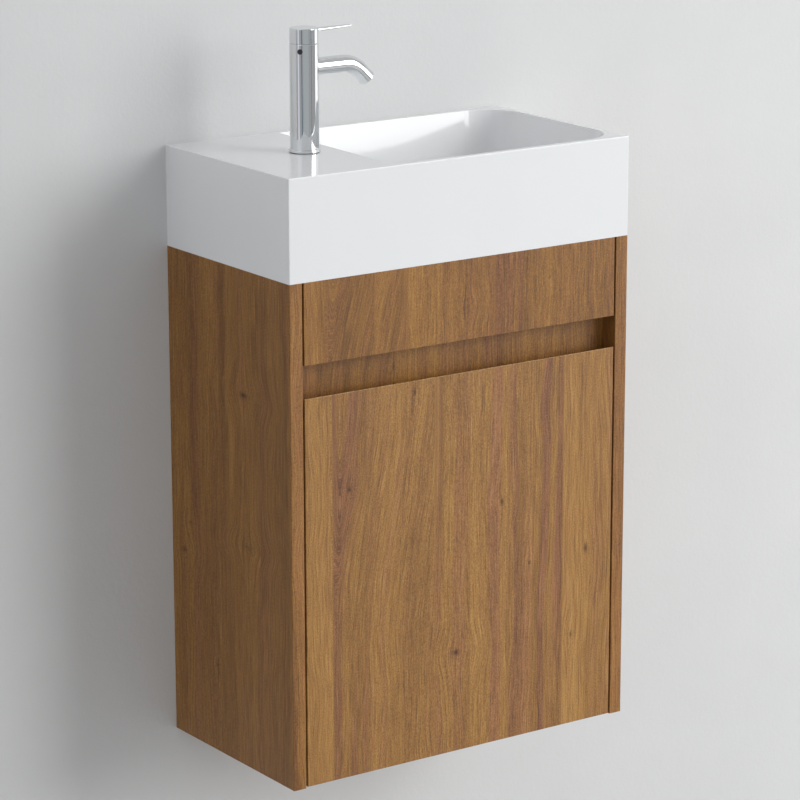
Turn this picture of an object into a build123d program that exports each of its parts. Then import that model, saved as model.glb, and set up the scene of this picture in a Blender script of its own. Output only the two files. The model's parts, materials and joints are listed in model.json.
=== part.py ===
from build123d import *
import math
import os

# Wall-hung cloakroom vanity unit. The origin is on the wall plane, at the middle of the width and at
# the height of the cabinet's underside. +X is to the right seen from the front, +Y is into the wall.

# Whole unit
unit_width = 400.0
unit_depth = 220.0
cabinet_height = 500.0
basin_height = 100.0
edge_round = 0.5

# Boards, fronts and the gaps between them
panel_thickness = 14.0
door_thickness = 16.0
door_side_gap = 2.0
door_back_gap = 4.0
door_floor_gap = 1.0
fascia_height = 80.0
finger_gap = 32.0
finger_rail_height = 170.0
hanging_rail_height = 70.0
back_rail_height = 60.0
door_land = 1.2
door_bevel_drop = 12.0

# Shelf
shelf_height = 180.0
shelf_side_gap = 1.0
shelf_front_gap = 4.0
shelf_back_gap = 6.0
shelf_pin_radius = 2.5
shelf_pin_length = 16.0
shelf_pin_inset = 20.0

# Cam fittings that join the boards
cam_radius = 7.5
cam_depth = 11.0
cam_clearance = 0.1
cam_reach = 24.0
bolt_start = 1.0
cam_slot_width = 1.4
cam_slot_depth = 1.5
bolt_radius = 3.0
bolt_tip_radius = 2.5
bolt_tip_length = 10.0
cam_inset = 18.0

# Wall fixings
wall_hole_radius = 4.5
wall_hole_spacing = 260.0
upper_wall_hole_drop = 35.0
lower_wall_hole_rise = 30.0

# Wood screws
screw_radius = 1.75
screw_head_radius = 3.5
screw_head_height = 1.8
screw_slot_width = 0.9
screw_slot_depth = 0.8
screw_grip = 9.0
fascia_screw_spacing = 240.0
fascia_screw_inset = 20.0

# Concealed single-pivot hinges
lower_hinge_rise = 70.0
upper_hinge_drop = 34.0
hinge_inset = 9.0
hinge_depth = 5.6
hinge_pin_radius = 1.25
hinge_pin_end_gap = 0.1
hinge_pin_clearance = 0.05
cup_radius = 17.4
cup_wall = 0.8
cup_skin = 2.4
cup_edge_gap = 5.1
cup_flange_thickness = 1.2
cup_flange_length = 60.0
cup_flange_width = 16.0
cup_screw_spacing = 48.0
arm_eye_radius = 2.1
arm_thickness = 2.0
arm_width = 9.0
arm_neck = 16.5
arm_leg = 22.0
arm_strap = 36.0
arm_bend = 3.5
arm_screw_radius = 1.5
plate_thickness = 3.0
plate_height = 44.0
plate_length = 32.0
plate_screw_spacing = 32.0

# Magnetic catch and door bumpers
catch_width = 15.0
catch_length = 28.0
catch_height = 40.0
catch_rail_gap = 28.0
catch_screw_setback = 19.6
catch_screw_inset = 10.0
catch_gap = 0.5
magnet_wall = 2.5
magnet_length = 10.0
strike_thickness = 1.5
strike_stud_radius = 1.5
strike_stud_length = 8.0
bumper_radius = 5.0
bumper_play = 0.3
bumper_inset = 19.0
bumper_rise = 8.0
bumper_drop = 43.0
bumper_edge_round = 1.0

# Basin
basin_edge_round = 1.0
bowl_left_front = -79.0
bowl_left_rear = -73.0
bowl_right = 194.7
front_rim = 6.0
rear_rim = 7.0
bowl_corner_radius = 42.0
bowl_depth = 78.0
bowl_side_draft = 14.0
bowl_ramp_length = 104.0
bowl_floor_blend = 24.0
deck_thickness = 14.0
skirt_thickness = 12.0
bowl_wall = 14.0

# Tap
tap_x = -110.0
tap_y = -110.0
tap_radius = 14.2
tap_height = 103.0
tap_bore_radius = 12.0
tap_bore_depth = 48.0
tap_hole_radius = 13.0
shank_radius = 11.0
shank_length = 50.0
inlet_radius = 4.25
inlet_length = 12.0
inlet_spacing = 10.0
waterway_radius = 3.0
base_ring_radius = 15.5
base_ring_height = 3.0
base_seal_height = 0.8
shank_washer_radius = 18.0
shank_washer_height = 3.0
shank_nut_flats = 32.0
shank_nut_height = 12.0

# Spout
spout_height = 81.5
spout_radius = 8.5
spout_bore_radius = 6.5
spout_reach = 72.0
spout_corner_reach = 55.6
spout_bend = 28.0
spout_angle = 45.0
aerator_length = 7.0
aerator_recess = 0.6
aerator_hole_radius = 0.55
aerator_hole_depth = 2.0
aerator_hole_apothem = 0.88
aerator_hole_rows = 5

# Index plug
index_radius = 2.6
index_sink = 1.4
index_proud = 0.3
index_drop = 4.5
index_angle = 221.7

# Mixing cartridge, handle and lever
pivot_drop = 6.0
dome_radius = 16.1
dome_gap = 0.3
dome_mouth_radius = 9.0
dome_skirt_length = 9.0
cartridge_flange_height = 12.0
cartridge_neck_radius = 9.2
cartridge_height = 45.0
turret_radius = 7.5
turret_clearance = 0.1
turret_drop = 10.0
turret_rise = 4.5
turret_slot = 6.3
stem_width = 6.0
stem_thickness = 5.0
stem_radius = 3.0
stem_tail = 4.5
stem_shoulder = 5.0
stem_reach = 20.0
stem_tail_gap = 1.0
turret_pin_radius = 1.25
turret_pin_clearance = 0.05
turret_pin_length = 14.0
cap_radius = 14.0
cap_height = 23.0
cap_edge_round = 0.8
lever_root_width = 7.0
lever_root_height = 3.8
lever_tip_width = 5.0
lever_tip_height = 1.8
lever_length = 53.0
lever_drop = 1.1
lever_stub_radius = 1.5
lever_stub_start = 8.0
lever_stub_overlap = 1.0
lever_cap_overlap = 2.0
grub_radius = 1.25
grub_length = 4.0
grub_drop = 4.0

# Waste
waste_x = 90.0
waste_y = -110.0
waste_hole_radius = 23.0
waste_radius = 21.0
waste_bore_radius = 18.5
waste_flange_radius = 32.0
waste_flange_height = 1.6
waste_seal_height = 1.0
waste_seal_inset = 1.0
waste_under_seal_height = 4.0
waste_nut_radius = 29.0
waste_nut_height = 8.0
hub_radius = 5.0
hub_height = 10.0
hub_drop = 22.0
hub_rib_width = 2.5
hub_rib_overlap = 1.0
plug_radius = 30.0
plug_height = 4.0
plug_travel = 8.0
plug_gap = 0.4
plug_stem_radius = 3.0
plug_stem_clearance = 0.05
plug_stem_length = 53.0
plug_seal_radius = 18.2
plug_seal_height = 3.0

# Bottle trap and outlet
tube_radius = 16.0
tube_bore_radius = 14.4
tube_clearance = 0.05
inlet_nut_radius = 26.0
inlet_nut_height = 30.0
inlet_washer_height = 3.0
inlet_nut_grip = 14.0
dip_tube_length = 83.0
dip_tube_overlap = 7.0
trap_nut_gap = 5.0
trap_radius = 30.0
trap_wall = 3.0
trap_collar_radius = 20.0
trap_top = 39.0
trap_shoulder = 25.0
trap_bottom = 33.0
trap_boss_length = 46.0
cup_depth = 52.0
cup_body_radius = 28.0
cup_lip_height = 4.0
cup_neck_height = 10.0
outlet_nut_radius = 25.0
outlet_nut_length = 20.0
outlet_nut_grip = 8.0
pipe_insertion = 18.0
rosette_radius = 35.0
rosette_rail_gap = 10.0
rosette_depth = 8.0

# Places worked out from the sizes above
half_width = unit_width / 2
inner_half = half_width - panel_thickness
door_half = inner_half - door_side_gap
front_y = -unit_depth
door_back_y = front_y + door_thickness
carcass_front_y = door_back_y + door_back_gap
fascia_bottom = cabinet_height - fascia_height
door_top = fascia_bottom - finger_gap
unit_top = cabinet_height + basin_height
finger_rail_back_y = carcass_front_y + panel_thickness
finger_rail_bottom = cabinet_height - finger_rail_height
catch_rise = finger_rail_bottom - catch_rail_gap - catch_height
hinge_heights = {"lower": lower_hinge_rise, "upper": finger_rail_bottom - upper_hinge_drop}
hanging_rail_bottom = cabinet_height - hanging_rail_height
back_rail_top = panel_thickness + back_rail_height
hinge_x = door_half - hinge_inset
hinge_y = front_y + hinge_depth
cup_x = door_half - cup_edge_gap - cup_radius
cup_floor_y = front_y + cup_skin
cup_half_chord = math.sqrt(cup_radius ** 2 - (hinge_x - cup_x + hinge_pin_radius) ** 2)
hinge_pin_length = 2 * (cup_half_chord - hinge_pin_end_gap)
bowl_floor = unit_top - bowl_depth
basin_underside = bowl_floor - bowl_wall
waste_top = bowl_floor + waste_seal_height
outlet_z = hanging_rail_bottom - rosette_rail_gap - rosette_radius
trap_lower = outlet_z - trap_bottom
trap_upper = outlet_z + trap_top
inlet_nut_z = trap_upper + trap_nut_gap
waste_bottom = inlet_nut_z + inlet_nut_height - inlet_nut_grip + inlet_washer_height
plug_bottom = waste_top + waste_flange_height + plug_gap + plug_travel
tap_base = unit_top + base_seal_height + base_ring_height
tap_top = unit_top + tap_height
pivot_z = tap_top - pivot_drop
cartridge_base = tap_top - tap_bore_depth
spout_z = unit_top + spout_height
cap_top = pivot_z + cap_height

os.makedirs("parts", exist_ok=True)


def save(piece, label):
    piece.label = label
    export_step(piece, f"parts/{label}.step")


def slab(x_low, x_high, y_low, y_high, z_low, z_high):
    # An upright block between six faces
    with BuildPart() as blank:
        with BuildSketch(Plane.XY.offset(z_low)):
            with Locations(((x_low + x_high) / 2, (y_low + y_high) / 2)):
                Rectangle(x_high - x_low, y_high - y_low)
        extrude(amount=z_high - z_low)
    return blank.part


def rod(start, direction, radius, length):
    # A round bar from a point along a direction
    with BuildPart() as blank:
        with BuildSketch(Plane(origin=start, z_dir=direction)):
            Circle(radius)
        extrude(amount=length)
    return blank.part


def tube(start, direction, outer, inner, length):
    # A round bar with a hole along its axis
    with BuildPart() as blank:
        with BuildSketch(Plane(origin=start, z_dir=direction)):
            Circle(outer)
            Circle(inner, mode=Mode.SUBTRACT)
        extrude(amount=length)
    return blank.part


def turned(x, y, *profile):
    # A profile of (radius, height) points turned about the upright axis at x, y
    with BuildPart() as blank:
        with BuildSketch(Plane(origin=(x, y, 0), x_dir=(1, 0, 0), z_dir=(0, -1, 0))):
            with BuildLine():
                Polyline(*profile, close=True)
            make_face()
        revolve(axis=Axis((x, y, 0), (0, 0, 1)))
    return blank.part


def screw(seat, direction, length, radius=screw_radius):
    # A pan-head screw: seat is the point under the head, direction points along the shank
    outward = Vector(*direction) * -1
    head_top = Vector(*seat) + outward * screw_head_height
    with BuildPart() as blank:
        add(rod(seat, outward, screw_head_radius, screw_head_height))
        fillet(blank.edges().group_by(Axis(seat, outward))[-1], screw_head_height / 2)
        add(rod(seat, direction, radius, length))
        with BuildSketch(Plane(origin=head_top, z_dir=direction)):
            Rectangle(screw_head_radius, screw_slot_width)
            Rectangle(screw_slot_width, screw_head_radius)
        extrude(amount=screw_slot_depth, mode=Mode.SUBTRACT)
    return blank.part


def cam_seat(side, face, inward):
    # The bores that one cam fitting needs in its board
    centre = Vector(*face) + Vector(*inward) * (panel_thickness / 2)
    with BuildPart() as seat:
        add(rod(face, inward, cam_radius + cam_clearance, cam_depth + cam_clearance))
        add(rod(centre, (side, 0, 0), bolt_radius + cam_clearance, cam_reach))
    return seat.part


def cam_disc(side, face, inward):
    # The turned lock, with a cross hole for the bolt and a driver slot
    centre = Vector(*face) + Vector(*inward) * (panel_thickness / 2)
    with BuildPart() as disc:
        add(rod(face, inward, cam_radius, cam_depth))
        add(rod(centre, (side, 0, 0), bolt_radius + cam_clearance, cam_reach), mode=Mode.SUBTRACT)
        with BuildSketch(Plane(origin=face, z_dir=inward)):
            Rectangle(2 * cam_radius, cam_slot_width)
        extrude(amount=cam_slot_depth, mode=Mode.SUBTRACT)
    return disc.part


def cam_bolt(side, face, inward):
    # The bolt that the lock pulls on, with its thin end in the side panel
    centre = Vector(*face) + Vector(*inward) * (panel_thickness / 2)
    panel_point = centre + Vector(side * cam_reach, 0, 0)
    with BuildPart() as bolt:
        add(rod(centre + Vector(side * bolt_start, 0, 0), (side, 0, 0), bolt_radius, cam_reach - bolt_start))
        add(rod(panel_point, (side, 0, 0), bolt_tip_radius, bolt_tip_length))
    return bolt.part


# Cam fittings: the side they pull on, the point on the board's face and the way into the board
cam_x = inner_half - cam_reach
back_cam_y = -shelf_back_gap - 2 * panel_thickness - cam_inset
bottom_cams = [
    (side, (side * cam_x, y, panel_thickness), (0, 0, -1))
    for side in (-1, 1)
    for y in (finger_rail_back_y + cam_inset, back_cam_y)
]
finger_rail_cams = [
    (side, (side * cam_x, finger_rail_back_y, z), (0, -1, 0))
    for side in (-1, 1)
    for z in (finger_rail_bottom + 2 * cam_inset, cabinet_height - 2 * cam_inset)
]
hanging_rail_cams = [
    (side, (side * cam_x, -panel_thickness, z), (0, 1, 0))
    for side in (-1, 1)
    for z in (hanging_rail_bottom + cam_inset, cabinet_height - cam_inset)
]
back_rail_cams = [
    (side, (side * cam_x, -panel_thickness, panel_thickness + back_rail_height / 2), (0, 1, 0))
    for side in (-1, 1)
]
all_cams = bottom_cams + finger_rail_cams + hanging_rail_cams + back_rail_cams

# Points shared by the boards and what is screwed to them
fascia_screw_points = [
    (side * fascia_screw_spacing / 2, finger_rail_back_y, z)
    for side in (-1, 1)
    for z in (fascia_bottom + fascia_screw_inset, cabinet_height - fascia_screw_inset)
]
shelf_pin_points = [
    (side * (inner_half - shelf_pin_length / 2), y, shelf_height - shelf_pin_radius)
    for side in (-1, 1)
    for y in (finger_rail_back_y + shelf_pin_inset, -panel_thickness - shelf_back_gap - shelf_pin_inset)
]
plate_front_y = finger_rail_back_y
plate_screw_y = plate_front_y + plate_length / 2
plate_screw_points = [
    (inner_half - plate_thickness, plate_screw_y, height + turn * plate_screw_spacing / 2)
    for height in hinge_heights.values()
    for turn in (-1, 1)
]
catch_screw_points = [
    (-inner_half + catch_width, carcass_front_y + catch_screw_setback, z)
    for z in (catch_rise + catch_screw_inset, catch_rise + catch_height - catch_screw_inset)
]

# Side panels
for side, label in ((-1, "side_panel_left"), (1, "side_panel_right")):
    inner_x = side * inner_half
    outer_x = side * half_width
    with BuildPart() as side_panel:
        add(slab(min(inner_x, outer_x), max(inner_x, outer_x), front_y, 0, 0, cabinet_height))
        fillet(side_panel.edges().filter_by(Axis.Z).group_by(Axis.Y)[0], edge_round)
        for cam_side, face, inward in all_cams:
            if cam_side == side:
                middle = Vector(*face) + Vector(*inward) * (panel_thickness / 2)
                start = (inner_x, middle.Y, middle.Z)
                add(rod(start, (side, 0, 0), bolt_tip_radius, bolt_tip_length), mode=Mode.SUBTRACT)
        for x, y, z in shelf_pin_points:
            if x * side > 0:
                add(rod((inner_x, y, z), (side, 0, 0), shelf_pin_radius, shelf_pin_length / 2),
                    mode=Mode.SUBTRACT)
        screw_points = plate_screw_points if side > 0 else catch_screw_points
        for x, y, z in screw_points:
            add(rod((inner_x, y, z), (side, 0, 0), screw_radius, screw_grip), mode=Mode.SUBTRACT)
    save(side_panel.part, label)

# Bottom panel
with BuildPart() as bottom_panel:
    add(slab(-inner_half, inner_half, carcass_front_y, 0, 0, panel_thickness))
    for cam in bottom_cams:
        add(cam_seat(*cam), mode=Mode.SUBTRACT)
save(bottom_panel.part, "bottom_panel")

# Finger rail, the board behind the hand gap
with BuildPart() as finger_rail:
    add(slab(-inner_half, inner_half, carcass_front_y, finger_rail_back_y, finger_rail_bottom,
             cabinet_height))
    for cam in finger_rail_cams:
        add(cam_seat(*cam), mode=Mode.SUBTRACT)
    for point in fascia_screw_points:
        add(rod(point, (0, -1, 0), screw_radius, panel_thickness), mode=Mode.SUBTRACT)
save(finger_rail.part, "finger_rail")

# Fascia, screwed to the front of the finger rail
with BuildPart() as fascia_panel:
    add(slab(-door_half, door_half, front_y, carcass_front_y, fascia_bottom, cabinet_height))
    fillet(fascia_panel.edges().group_by(Axis.Y)[0], edge_round)
    for x, y, z in fascia_screw_points:
        add(rod((x, carcass_front_y, z), (0, -1, 0), screw_radius, screw_grip), mode=Mode.SUBTRACT)
save(fascia_panel.part, "fascia_panel")

with BuildPart() as fascia_screws:
    for point in fascia_screw_points:
        add(screw(point, (0, -1, 0), panel_thickness + screw_grip))
save(fascia_screws.part, "fascia_screws")

# Hanging rail and lower back rail, which take the wall fixings
upper_wall_hole_z = cabinet_height - upper_wall_hole_drop
lower_wall_hole_z = panel_thickness + lower_wall_hole_rise
with BuildPart() as hanging_rail:
    add(slab(-inner_half, inner_half, -panel_thickness, 0, hanging_rail_bottom, cabinet_height))
    for cam in hanging_rail_cams:
        add(cam_seat(*cam), mode=Mode.SUBTRACT)
    for side in (-1, 1):
        add(rod((side * wall_hole_spacing / 2, 0, upper_wall_hole_z), (0, -1, 0), wall_hole_radius,
                panel_thickness), mode=Mode.SUBTRACT)
save(hanging_rail.part, "hanging_rail")

with BuildPart() as lower_back_rail:
    add(slab(-inner_half, inner_half, -panel_thickness, 0, panel_thickness, back_rail_top))
    for cam in back_rail_cams:
        add(cam_seat(*cam), mode=Mode.SUBTRACT)
    for side in (-1, 1):
        add(rod((side * wall_hole_spacing / 2, 0, lower_wall_hole_z), (0, -1, 0), wall_hole_radius,
                panel_thickness), mode=Mode.SUBTRACT)
save(lower_back_rail.part, "lower_back_rail")

# Cam discs and bolts
with BuildPart() as cam_discs:
    for cam in all_cams:
        add(cam_disc(*cam))
save(cam_discs.part, "cam_discs")

with BuildPart() as cam_bolts:
    for cam in all_cams:
        add(cam_bolt(*cam))
save(cam_bolts.part, "cam_bolts")

# Shelf on four pins
shelf_half = inner_half - shelf_side_gap
with BuildPart() as shelf:
    add(slab(-shelf_half, shelf_half, finger_rail_back_y + shelf_front_gap, -panel_thickness - shelf_back_gap,
             shelf_height, shelf_height + panel_thickness))
    fillet(shelf.edges().filter_by(Axis.X).group_by(Axis.Y)[0], edge_round)
save(shelf.part, "shelf")

with BuildPart() as shelf_pins:
    for x, y, z in shelf_pin_points:
        add(rod((x - shelf_pin_length / 2 if x > 0 else x + shelf_pin_length / 2, y, z),
                (1 if x > 0 else -1, 0, 0), shelf_pin_radius, shelf_pin_length))
save(shelf_pins.part, "shelf_pins")

# Door, with a bevelled top edge that the fingers reach behind
strike_y = door_back_y + strike_thickness
strike_x = -door_half + catch_width / 2
strike_z = catch_rise + catch_height / 2
with BuildPart() as door_panel:
    with BuildSketch(Plane.YZ):
        with BuildLine():
            Polyline(
                (front_y, door_floor_gap),
                (door_back_y, door_floor_gap),
                (door_back_y, door_top - door_bevel_drop),
                (front_y + door_land, door_top),
                (front_y, door_top),
                close=True,
            )
        make_face()
    extrude(amount=door_half, both=True)
    fillet(door_panel.edges().group_by(Axis.Y)[0], edge_round)
    for height in hinge_heights.values():
        add(rod((cup_x, door_back_y, height), (0, -1, 0), cup_radius, door_thickness - cup_skin),
            mode=Mode.SUBTRACT)
        for turn in (-1, 1):
            add(rod((cup_x, door_back_y, height + turn * cup_screw_spacing / 2), (0, -1, 0), screw_radius,
                    screw_grip), mode=Mode.SUBTRACT)
    add(rod((strike_x, door_back_y, strike_z), (0, -1, 0), strike_stud_radius, strike_stud_length),
        mode=Mode.SUBTRACT)
save(door_panel.part, "door_panel")

# Hinges: a cup and pin in the door, a gooseneck arm and plate on the right side panel
flange_y = door_back_y + cup_flange_thickness
arm_leg_y = hinge_y + arm_leg
strap_x = inner_half - plate_thickness - arm_thickness / 2
arm_screw_y = plate_front_y + plate_length / 2
pin_tools = {}
for name, height in hinge_heights.items():
    pin_tools[name] = rod((hinge_x, hinge_y, height - hinge_pin_length / 2), (0, 0, 1), hinge_pin_radius,
                          hinge_pin_length)
    with BuildPart() as hinge_cup:
        add(rod((cup_x, flange_y, height), (0, -1, 0), cup_radius, flange_y - cup_floor_y))
        with BuildSketch(Plane(origin=(cup_x, flange_y, height), x_dir=(0, 0, 1), z_dir=(0, -1, 0))):
            RectangleRounded(cup_flange_length, cup_flange_width, cup_flange_width / 2 - edge_round)
        extrude(amount=cup_flange_thickness)
        add(rod((cup_x, flange_y, height), (0, -1, 0), cup_radius - cup_wall,
                flange_y - cup_floor_y - cup_wall), mode=Mode.SUBTRACT)
        for turn in (-1, 1):
            add(rod((cup_x, flange_y, height + turn * cup_screw_spacing / 2), (0, -1, 0), screw_radius,
                    cup_flange_thickness), mode=Mode.SUBTRACT)
        add(pin_tools[name], mode=Mode.SUBTRACT)
    save(hinge_cup.part, f"hinge_cup_{name}")

    with BuildPart() as hinge_plate:
        add(slab(inner_half - plate_thickness, inner_half, plate_front_y, plate_front_y + plate_length,
                 height - plate_height / 2, height + plate_height / 2))
        fillet(hinge_plate.edges().filter_by(Axis.X), plate_thickness)
        for x, y, z in plate_screw_points:
            if abs(z - height) < plate_height:
                add(rod((x, y, z), (1, 0, 0), screw_radius, plate_thickness), mode=Mode.SUBTRACT)
        add(rod((inner_half - plate_thickness, arm_screw_y, height), (1, 0, 0), arm_screw_radius,
                plate_thickness), mode=Mode.SUBTRACT)
    save(hinge_plate.part, f"hinge_plate_{name}")

    with BuildPart() as hinge_arm:
        with BuildSketch(Plane.XY.offset(height - arm_width / 2)):
            with BuildLine():
                FilletPolyline(
                    (hinge_x, hinge_y),
                    (hinge_x - arm_neck, hinge_y),
                    (hinge_x - arm_neck, arm_leg_y),
                    (strap_x, arm_leg_y),
                    (strap_x, arm_leg_y + arm_strap),
                    radius=arm_bend,
                )
            trace(line_width=arm_thickness)
            with Locations((hinge_x, hinge_y)):
                Circle(arm_eye_radius)
                Circle(hinge_pin_radius + hinge_pin_clearance, mode=Mode.SUBTRACT)
        extrude(amount=arm_width)
        add(rod((strap_x - arm_thickness / 2, arm_screw_y, height), (1, 0, 0), arm_screw_radius,
                arm_thickness), mode=Mode.SUBTRACT)
    save(hinge_arm.part, f"hinge_arm_{name}")

with BuildPart() as hinge_pins:
    for tool in pin_tools.values():
        add(tool)
save(hinge_pins.part, "hinge_pins")

with BuildPart() as hinge_plate_screws:
    for point in plate_screw_points:
        add(screw(point, (1, 0, 0), plate_thickness + screw_grip))
    for height in hinge_heights.values():
        add(screw((strap_x - arm_thickness / 2, arm_screw_y, height), (1, 0, 0),
                  arm_thickness + plate_thickness, arm_screw_radius))
save(hinge_plate_screws.part, "hinge_plate_screws")

with BuildPart() as cup_screws:
    for height in hinge_heights.values():
        for turn in (-1, 1):
            add(screw((cup_x, flange_y, height + turn * cup_screw_spacing / 2), (0, -1, 0),
                      cup_flange_thickness + screw_grip))
save(cup_screws.part, "cup_screws")

# Magnetic catch on the left side panel, and its strike plate on the door
magnet_front_y = strike_y + catch_gap
catch_x_low = -inner_half
catch_x_high = -inner_half + catch_width
magnet_box = slab(catch_x_low + magnet_wall, catch_x_high - magnet_wall, magnet_front_y,
                  magnet_front_y + magnet_length, catch_rise + magnet_wall,
                  catch_rise + catch_height - magnet_wall)
with BuildPart() as catch_housing:
    add(slab(catch_x_low, catch_x_high, carcass_front_y, carcass_front_y + catch_length, catch_rise,
             catch_rise + catch_height))
    add(magnet_box, mode=Mode.SUBTRACT)
    for point in catch_screw_points:
        add(rod(point, (-1, 0, 0), screw_radius, catch_width), mode=Mode.SUBTRACT)
save(catch_housing.part, "catch_housing")

with BuildPart() as catch_magnet:
    add(magnet_box)
save(catch_magnet.part, "catch_magnet")

with BuildPart() as catch_screws:
    for point in catch_screw_points:
        add(screw(point, (-1, 0, 0), catch_width + screw_grip))
save(catch_screws.part, "catch_screws")

with BuildPart() as catch_strike:
    add(slab(-door_half + magnet_wall, -door_half + catch_width - magnet_wall, door_back_y, strike_y,
             catch_rise + magnet_wall, catch_rise + catch_height - magnet_wall))
    add(rod((strike_x, door_back_y, strike_z), (0, -1, 0), strike_stud_radius, strike_stud_length))
save(catch_strike.part, "catch_strike")

with BuildPart() as door_bumpers:
    for z in (bumper_rise, door_top - bumper_drop):
        add(rod((-door_half + bumper_inset, door_back_y, z), (0, 1, 0), bumper_radius,
                door_back_gap - bumper_play))
    fillet(door_bumpers.edges().group_by(Axis.Y)[-1], bumper_edge_round)
save(door_bumpers.part, "door_bumpers")

# Basin: a block with a bowl that ramps down from a flat tap deck
ramp_foot = (bowl_left_front + bowl_left_rear) / 2 + bowl_ramp_length
floor_corner_radius = bowl_corner_radius - bowl_side_draft / 2
with BuildPart() as bowl_void:
    with BuildSketch(Plane.XY.offset(unit_top)) as mouth:
        with BuildLine():
            Polyline(
                (bowl_left_front, front_y + front_rim),
                (bowl_right, front_y + front_rim),
                (bowl_right, -rear_rim),
                (bowl_left_rear, -rear_rim),
                close=True,
            )
        make_face()
        fillet(mouth.vertices().group_by(Axis.X)[-1], bowl_corner_radius)
    with BuildSketch(Plane.XY.offset(bowl_floor)) as floor:
        with BuildLine():
            Polyline(
                (ramp_foot, front_y + front_rim + bowl_side_draft),
                (bowl_right - bowl_side_draft, front_y + front_rim + bowl_side_draft),
                (bowl_right - bowl_side_draft, -rear_rim - bowl_side_draft),
                (ramp_foot, -rear_rim - bowl_side_draft),
                close=True,
            )
        make_face()
        fillet(floor.vertices().group_by(Axis.X)[-1], floor_corner_radius)
    loft()
    fillet(bowl_void.faces().sort_by(Axis.Z)[0].edges(), bowl_floor_blend)

with BuildPart() as basin:
    add(slab(-half_width, half_width, front_y, 0, cabinet_height, unit_top))
    fillet(basin.edges().filter_by(Axis.Z), basin_edge_round)
    fillet(basin.faces().sort_by(Axis.Z)[-1].edges(), basin_edge_round)
    add(bowl_void.part, mode=Mode.SUBTRACT)
    # Hollow underside, which follows the ramp
    with BuildSketch(Plane.XZ.offset(skirt_thickness)):
        with BuildLine():
            Polyline(
                (-half_width + skirt_thickness, cabinet_height),
                (-half_width + skirt_thickness, unit_top - deck_thickness),
                (bowl_left_front - deck_thickness / 2, unit_top - deck_thickness),
                (ramp_foot - bowl_wall / 2, basin_underside),
                (half_width - skirt_thickness, basin_underside),
                (half_width - skirt_thickness, cabinet_height),
                close=True,
            )
        make_face()
    extrude(amount=unit_depth - 2 * skirt_thickness, mode=Mode.SUBTRACT)
    add(rod((tap_x, tap_y, unit_top), (0, 0, -1), tap_hole_radius, deck_thickness), mode=Mode.SUBTRACT)
    add(rod((waste_x, waste_y, bowl_floor), (0, 0, -1), waste_hole_radius, bowl_wall), mode=Mode.SUBTRACT)
save(basin.part, "basin")

# Waste fitting through the bowl's floor
with BuildPart() as waste_body:
    add(turned(
        waste_x, waste_y,
        (waste_bore_radius, waste_bottom),
        (waste_radius, waste_bottom),
        (waste_radius, waste_top),
        (waste_flange_radius, waste_top),
        (waste_flange_radius - waste_flange_height / 2, waste_top + waste_flange_height),
        (waste_bore_radius, waste_top + waste_flange_height),
    ))
    with BuildSketch(Plane.XY.offset(waste_top - hub_drop - hub_height)):
        with Locations((waste_x, waste_y)):
            Circle(hub_radius)
            with PolarLocations((waste_bore_radius + hub_radius) / 2, 3):
                Rectangle(waste_bore_radius - hub_radius + 2 * hub_rib_overlap, hub_rib_width)
            Circle(plug_stem_radius + plug_stem_clearance, mode=Mode.SUBTRACT)
    extrude(amount=hub_height)
save(waste_body.part, "waste_body")

with BuildPart() as waste_top_seal:
    add(tube((waste_x, waste_y, bowl_floor), (0, 0, 1), waste_flange_radius - waste_seal_inset, waste_radius,
             waste_seal_height))
save(waste_top_seal.part, "waste_top_seal")

under_seal_z = basin_underside - waste_under_seal_height
with BuildPart() as waste_bottom_seal:
    add(tube((waste_x, waste_y, under_seal_z), (0, 0, 1), waste_nut_radius, waste_radius,
             waste_under_seal_height))
save(waste_bottom_seal.part, "waste_bottom_seal")

with BuildPart() as waste_nut:
    with BuildSketch(Plane.XY.offset(under_seal_z - waste_nut_height)):
        with Locations((waste_x, waste_y)):
            RegularPolygon(waste_nut_radius, 8)
            Circle(waste_radius, mode=Mode.SUBTRACT)
    extrude(amount=waste_nut_height)
save(waste_nut.part, "waste_nut")

# Click plug that slides in the waste's hub
with BuildPart() as plug_cap:
    add(rod((waste_x, waste_y, plug_bottom), (0, 0, 1), plug_radius, plug_height))
    fillet(plug_cap.edges().group_by(Axis.Z)[-1], plug_height / 2)
save(plug_cap.part, "plug_cap")

with BuildPart() as plug_seal:
    add(tube((waste_x, waste_y, plug_bottom - plug_seal_height), (0, 0, 1), plug_seal_radius,
             plug_stem_radius, plug_seal_height))
save(plug_seal.part, "plug_seal")

with BuildPart() as plug_stem:
    add(rod((waste_x, waste_y, plug_bottom), (0, 0, -1), plug_stem_radius, plug_stem_length))
save(plug_stem.part, "plug_stem")

# Bottle trap below the waste
with BuildPart() as trap_inlet_nut:
    add(turned(
        waste_x, waste_y,
        (tube_radius + tube_clearance, inlet_nut_z),
        (inlet_nut_radius, inlet_nut_z),
        (inlet_nut_radius, inlet_nut_z + inlet_nut_height),
        (waste_radius, inlet_nut_z + inlet_nut_height),
        (waste_radius, waste_bottom - inlet_washer_height),
        (tube_radius + tube_clearance, waste_bottom - inlet_washer_height),
    ))
save(trap_inlet_nut.part, "trap_inlet_nut")

with BuildPart() as trap_inlet_washer:
    add(tube((waste_x, waste_y, waste_bottom), (0, 0, -1), waste_radius, tube_radius, inlet_washer_height))
save(trap_inlet_washer.part, "trap_inlet_washer")

with BuildPart() as trap_dip_tube:
    add(tube((waste_x, waste_y, waste_bottom + dip_tube_overlap), (0, 0, -1), tube_radius, tube_bore_radius,
             dip_tube_length))
save(trap_dip_tube.part, "trap_dip_tube")

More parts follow.
